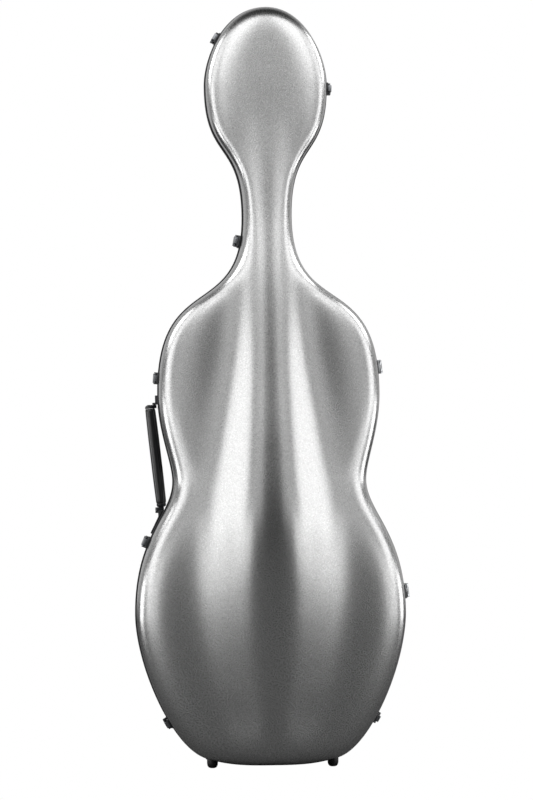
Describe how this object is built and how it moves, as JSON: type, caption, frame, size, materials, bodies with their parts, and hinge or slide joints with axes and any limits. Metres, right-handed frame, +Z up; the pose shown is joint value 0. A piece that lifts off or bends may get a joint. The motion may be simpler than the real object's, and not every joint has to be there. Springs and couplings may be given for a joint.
{
  "type": "cello hard case",
  "caption": "Upright hard case for a full-size cello: two composite half shells on a black rim, hinged at one side, with draw latches, a carrying handle and rubber feet.",
  "frame": {"origin": "middle of the footprint on the floor, midway across the case", "axes": "+Z up along the case as it stands, -Y towards the lid, +X to the hinge side"},
  "size_m": [0.4789, 0.3059, 1.32],
  "materials": {
    "silver_shell": "silver metallic paint with fine glitter under clear lacquer",
    "black_trim": "satin black",
    "black_hardware": "black coated, semi-gloss",
    "claw_steel": "dark nickel, brushed",
    "rubber": "matt black rubber",
    "velour": "charcoal velour over foam",
    "grip": "smooth black, slightly glossy"
  },
  "bodies": {
    "back": {"back_shell": "silver_shell", "back_rim": "black_trim", "rim_seal": "rubber", "back_lining": "velour", "latch_base_head_left": "black_hardware", "latch_base_neck_left": "black_hardware", "latch_base_upper_left": "black_hardware", "latch_base_waist_left": "black_hardware", "latch_base_lower_left": "black_hardware", "latch_base_head_right": "black_hardware", "latch_base_lower_right": "black_hardware", "hinge_upper_back_leaf": "black_hardware", "hinge_lower_back_leaf": "black_hardware", "foot_front_left": "rubber", "foot_rear_left": "rubber", "foot_front_right": "rubber", "foot_rear_right": "rubber", "handle_mount_upper": "black_hardware", "handle_mount_lower": "black_hardware", "neck_cradle": "velour", "upper_rest_pad": "velour", "lower_rest_pad_left": "velour", "lower_rest_pad_right": "velour", "strap_loop_shoulder": "black_hardware", "strap_loop_left": "black_hardware", "strap_loop_right": "black_hardware"},
    "lid": {"lid_shell": "silver_shell", "lid_rim": "black_trim", "lid_lining": "velour", "hinge_upper_lid_leaf": "black_hardware", "hinge_lower_lid_leaf": "black_hardware", "bow_block_left": "black_trim", "bow_block_right": "black_trim", "bow_tip_pocket": "velour", "latch_catch_head_left": "black_hardware", "latch_catch_neck_left": "black_hardware", "latch_catch_upper_left": "black_hardware", "latch_catch_waist_left": "black_hardware", "latch_catch_lower_left": "black_hardware", "latch_catch_head_right": "black_hardware", "latch_catch_lower_right": "black_hardware"},
    "handle": {"handle_grip": "grip", "handle_end_upper": "black_hardware", "handle_end_lower": "black_hardware"},
    "bow_spinner_left": {"bow_spinner_left": "black_hardware"},
    "bow_spinner_right": {"bow_spinner_right": "black_hardware"},
    "lever_head_left": {"latch_lever_head_left": "black_hardware"},
    "claw_head_left": {"latch_claw_head_left": "claw_steel"},
    "lever_neck_left": {"latch_lever_neck_left": "black_hardware"},
    "claw_neck_left": {"latch_claw_neck_left": "claw_steel"},
    "lever_upper_left": {"latch_lever_upper_left": "black_hardware"},
    "claw_upper_left": {"latch_claw_upper_left": "claw_steel"},
    "lever_waist_left": {"latch_lever_waist_left": "black_hardware"},
    "claw_waist_left": {"latch_claw_waist_left": "claw_steel"},
    "lever_lower_left": {"latch_lever_lower_left": "black_hardware"},
    "claw_lower_left": {"latch_claw_lower_left": "claw_steel"},
    "lever_head_right": {"latch_lever_head_right": "black_hardware"},
    "claw_head_right": {"latch_claw_head_right": "claw_steel"},
    "lever_lower_right": {"latch_lever_lower_right": "black_hardware"},
    "claw_lower_right": {"latch_claw_lower_right": "claw_steel"}
  },
  "joints": [
    {"name": "lid_hinge", "type": "hinge", "parent": "back", "child": "lid", "pos_m": [0.23851, -0.022, 0.30228], "axis": [-0.1092, 0, 0.994], "range_deg": [0, 110]},
    {"name": "handle_swing", "type": "hinge", "parent": "back", "child": "handle", "pos_m": [-0.19793, -0.001, 0.62198], "axis": [0.0179, 0, -0.9998], "range_deg": [-60, 60]},
    {"name": "bow_spinner_left_turn", "type": "hinge", "parent": "lid", "child": "bow_spinner_left", "pos_m": [-0.122, -0.068, 0.21595], "axis": [0, 1, 0], "range_deg": [-90, 0]},
    {"name": "bow_spinner_right_turn", "type": "hinge", "parent": "lid", "child": "bow_spinner_right", "pos_m": [0.122, -0.068, 0.21595], "axis": [0, 1, 0], "range_deg": [0, 90]},
    {"name": "lever_head_left_swing", "type": "hinge", "parent": "back", "child": "lever_head_left", "pos_m": [-0.08647, -0.007, 1.26835], "axis": [0.5151, 0, 0.8571], "range_deg": [0, 100]},
    {"name": "claw_head_left_swing", "type": "hinge", "parent": "lever_head_left", "child": "claw_head_left", "pos_m": [-0.08716, -0.0005, 1.26876], "axis": [0.5151, 0, 0.8571], "range_deg": [-115, 0]},
    {"name": "lever_neck_left_swing", "type": "hinge", "parent": "back", "child": "lever_neck_left", "pos_m": [-0.05289, -0.007, 0.91436], "axis": [0.1915, 0, 0.9815], "range_deg": [0, 100]},
    {"name": "claw_neck_left_swing", "type": "hinge", "parent": "lever_neck_left", "child": "claw_neck_left", "pos_m": [-0.05368, -0.0005, 0.91451], "axis": [0.1915, 0, 0.9815], "range_deg": [-115, 0]},
    {"name": "lever_upper_left_swing", "type": "hinge", "parent": "back", "child": "lever_upper_left", "pos_m": [-0.19568, -0.007, 0.67626], "axis": [0.0864, 0, 0.9963], "range_deg": [0, 100]},
    {"name": "claw_upper_left_swing", "type": "hinge", "parent": "lever_upper_left", "child": "claw_upper_left", "pos_m": [-0.19648, -0.0005, 0.67632], "axis": [0.0864, 0, 0.9963], "range_deg": [-115, 0]},
    {"name": "lever_waist_left_swing", "type": "hinge", "parent": "back", "child": "lever_waist_left", "pos_m": [-0.21654, -0.007, 0.39193], "axis": [0.3907, 0, 0.9205], "range_deg": [0, 100]},
    {"name": "claw_waist_left_swing", "type": "hinge", "parent": "lever_waist_left", "child": "claw_waist_left", "pos_m": [-0.21728, -0.0005, 0.39225], "axis": [0.3907, 0, 0.9205], "range_deg": [-115, 0]},
    {"name": "lever_lower_left_swing", "type": "hinge", "parent": "back", "child": "lever_lower_left", "pos_m": [-0.18124, -0.007, 0.07471], "axis": [-0.5232, 0, 0.8522], "range_deg": [0, 100]},
    {"name": "claw_lower_left_swing", "type": "hinge", "parent": "lever_lower_left", "child": "claw_lower_left", "pos_m": [-0.18192, -0.0005, 0.07429], "axis": [-0.5232, 0, 0.8522], "range_deg": [-115, 0]},
    {"name": "lever_head_right_swing", "type": "hinge", "parent": "back", "child": "lever_head_right", "pos_m": [0.11136, -0.007, 1.17801], "axis": [-0.0192, 0, -0.9998], "range_deg": [0, 100]},
    {"name": "claw_head_right_swing", "type": "hinge", "parent": "lever_head_right", "child": "claw_head_right", "pos_m": [0.11216, -0.0005, 1.17799], "axis": [-0.0192, 0, -0.9998], "range_deg": [-115, 0]},
    {"name": "lever_lower_right_swing", "type": "hinge", "parent": "back", "child": "lever_lower_right", "pos_m": [0.18418, -0.007, 0.08006], "axis": [-0.5088, 0, -0.8609], "range_deg": [0, 100]},
    {"name": "claw_lower_right_swing", "type": "hinge", "parent": "lever_lower_right", "child": "claw_lower_right", "pos_m": [0.18487, -0.0005, 0.07965], "axis": [-0.5088, 0, -0.8609], "range_deg": [-115, 0]}
  ],
  "couplings": [
    {"joint": "claw_head_left_swing", "follows": "lever_head_left_swing", "ratio": -1.15},
    {"joint": "claw_neck_left_swing", "follows": "lever_neck_left_swing", "ratio": -1.15},
    {"joint": "claw_upper_left_swing", "follows": "lever_upper_left_swing", "ratio": -1.15},
    {"joint": "claw_waist_left_swing", "follows": "lever_waist_left_swing", "ratio": -1.15},
    {"joint": "claw_lower_left_swing", "follows": "lever_lower_left_swing", "ratio": -1.15},
    {"joint": "claw_head_right_swing", "follows": "lever_head_right_swing", "ratio": -1.15},
    {"joint": "claw_lower_right_swing", "follows": "lever_lower_right_swing", "ratio": -1.15}
  ]
}
